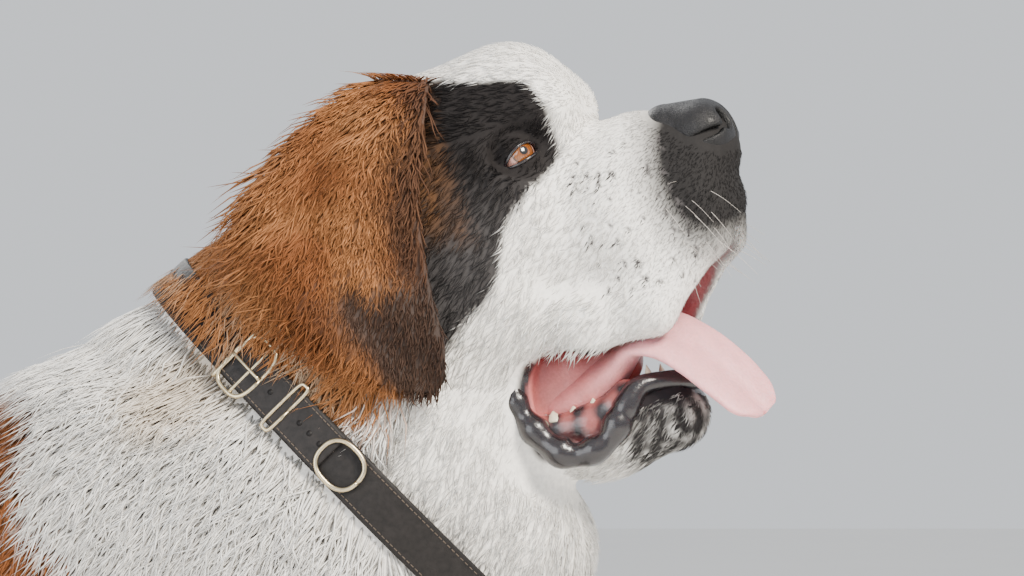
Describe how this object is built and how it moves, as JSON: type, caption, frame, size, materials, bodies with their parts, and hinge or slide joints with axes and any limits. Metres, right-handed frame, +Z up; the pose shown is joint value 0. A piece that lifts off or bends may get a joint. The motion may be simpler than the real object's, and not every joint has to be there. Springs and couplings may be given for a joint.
{
  "type": "saint bernard, life-size sitting model",
  "caption": "Life-size sitting Saint Bernard with a rough coat, head raised, mouth open and tongue out, wearing a leather collar.",
  "frame": {"origin": "middle of the model's box on the floor", "axes": "+X the way the dog faces, +Y its left, +Z up"},
  "size_m": [1.1676, 0.4406, 0.8842],
  "materials": {
    "coat_white": "matte",
    "coat_red": "matte",
    "nose_leather": "satin",
    "eye": "gloss",
    "tongue": "satin",
    "mouth": "gloss",
    "teeth": "gloss",
    "claw": "satin",
    "leather": "satin",
    "metal": "satin"
  },
  "bodies": {
    "root": {"head": "coat_white", "nose": "nose_leather", "eye_right": "eye", "eye_left": "eye", "tongue": "tongue", "neck": "coat_white", "lower_jaw": "coat_white", "torso_front": "coat_white", "torso_rear": "coat_red", "foreleg_right": "coat_white", "forepaw_right": "coat_white", "thigh_right": "coat_red", "hindleg_right": "coat_white", "hindpaw_right": "coat_white", "ear_right": "coat_red", "foreleg_left": "coat_white", "forepaw_left": "coat_white", "thigh_left": "coat_red", "hindleg_left": "coat_white", "hindpaw_left": "coat_white", "ear_left": "coat_red", "collar": "leather", "collar_buckle": "metal", "collar_keeper": "metal", "collar_ring": "metal", "tail_root": "coat_red", "tail_tip": "coat_white"}
  },
  "joints": []
}
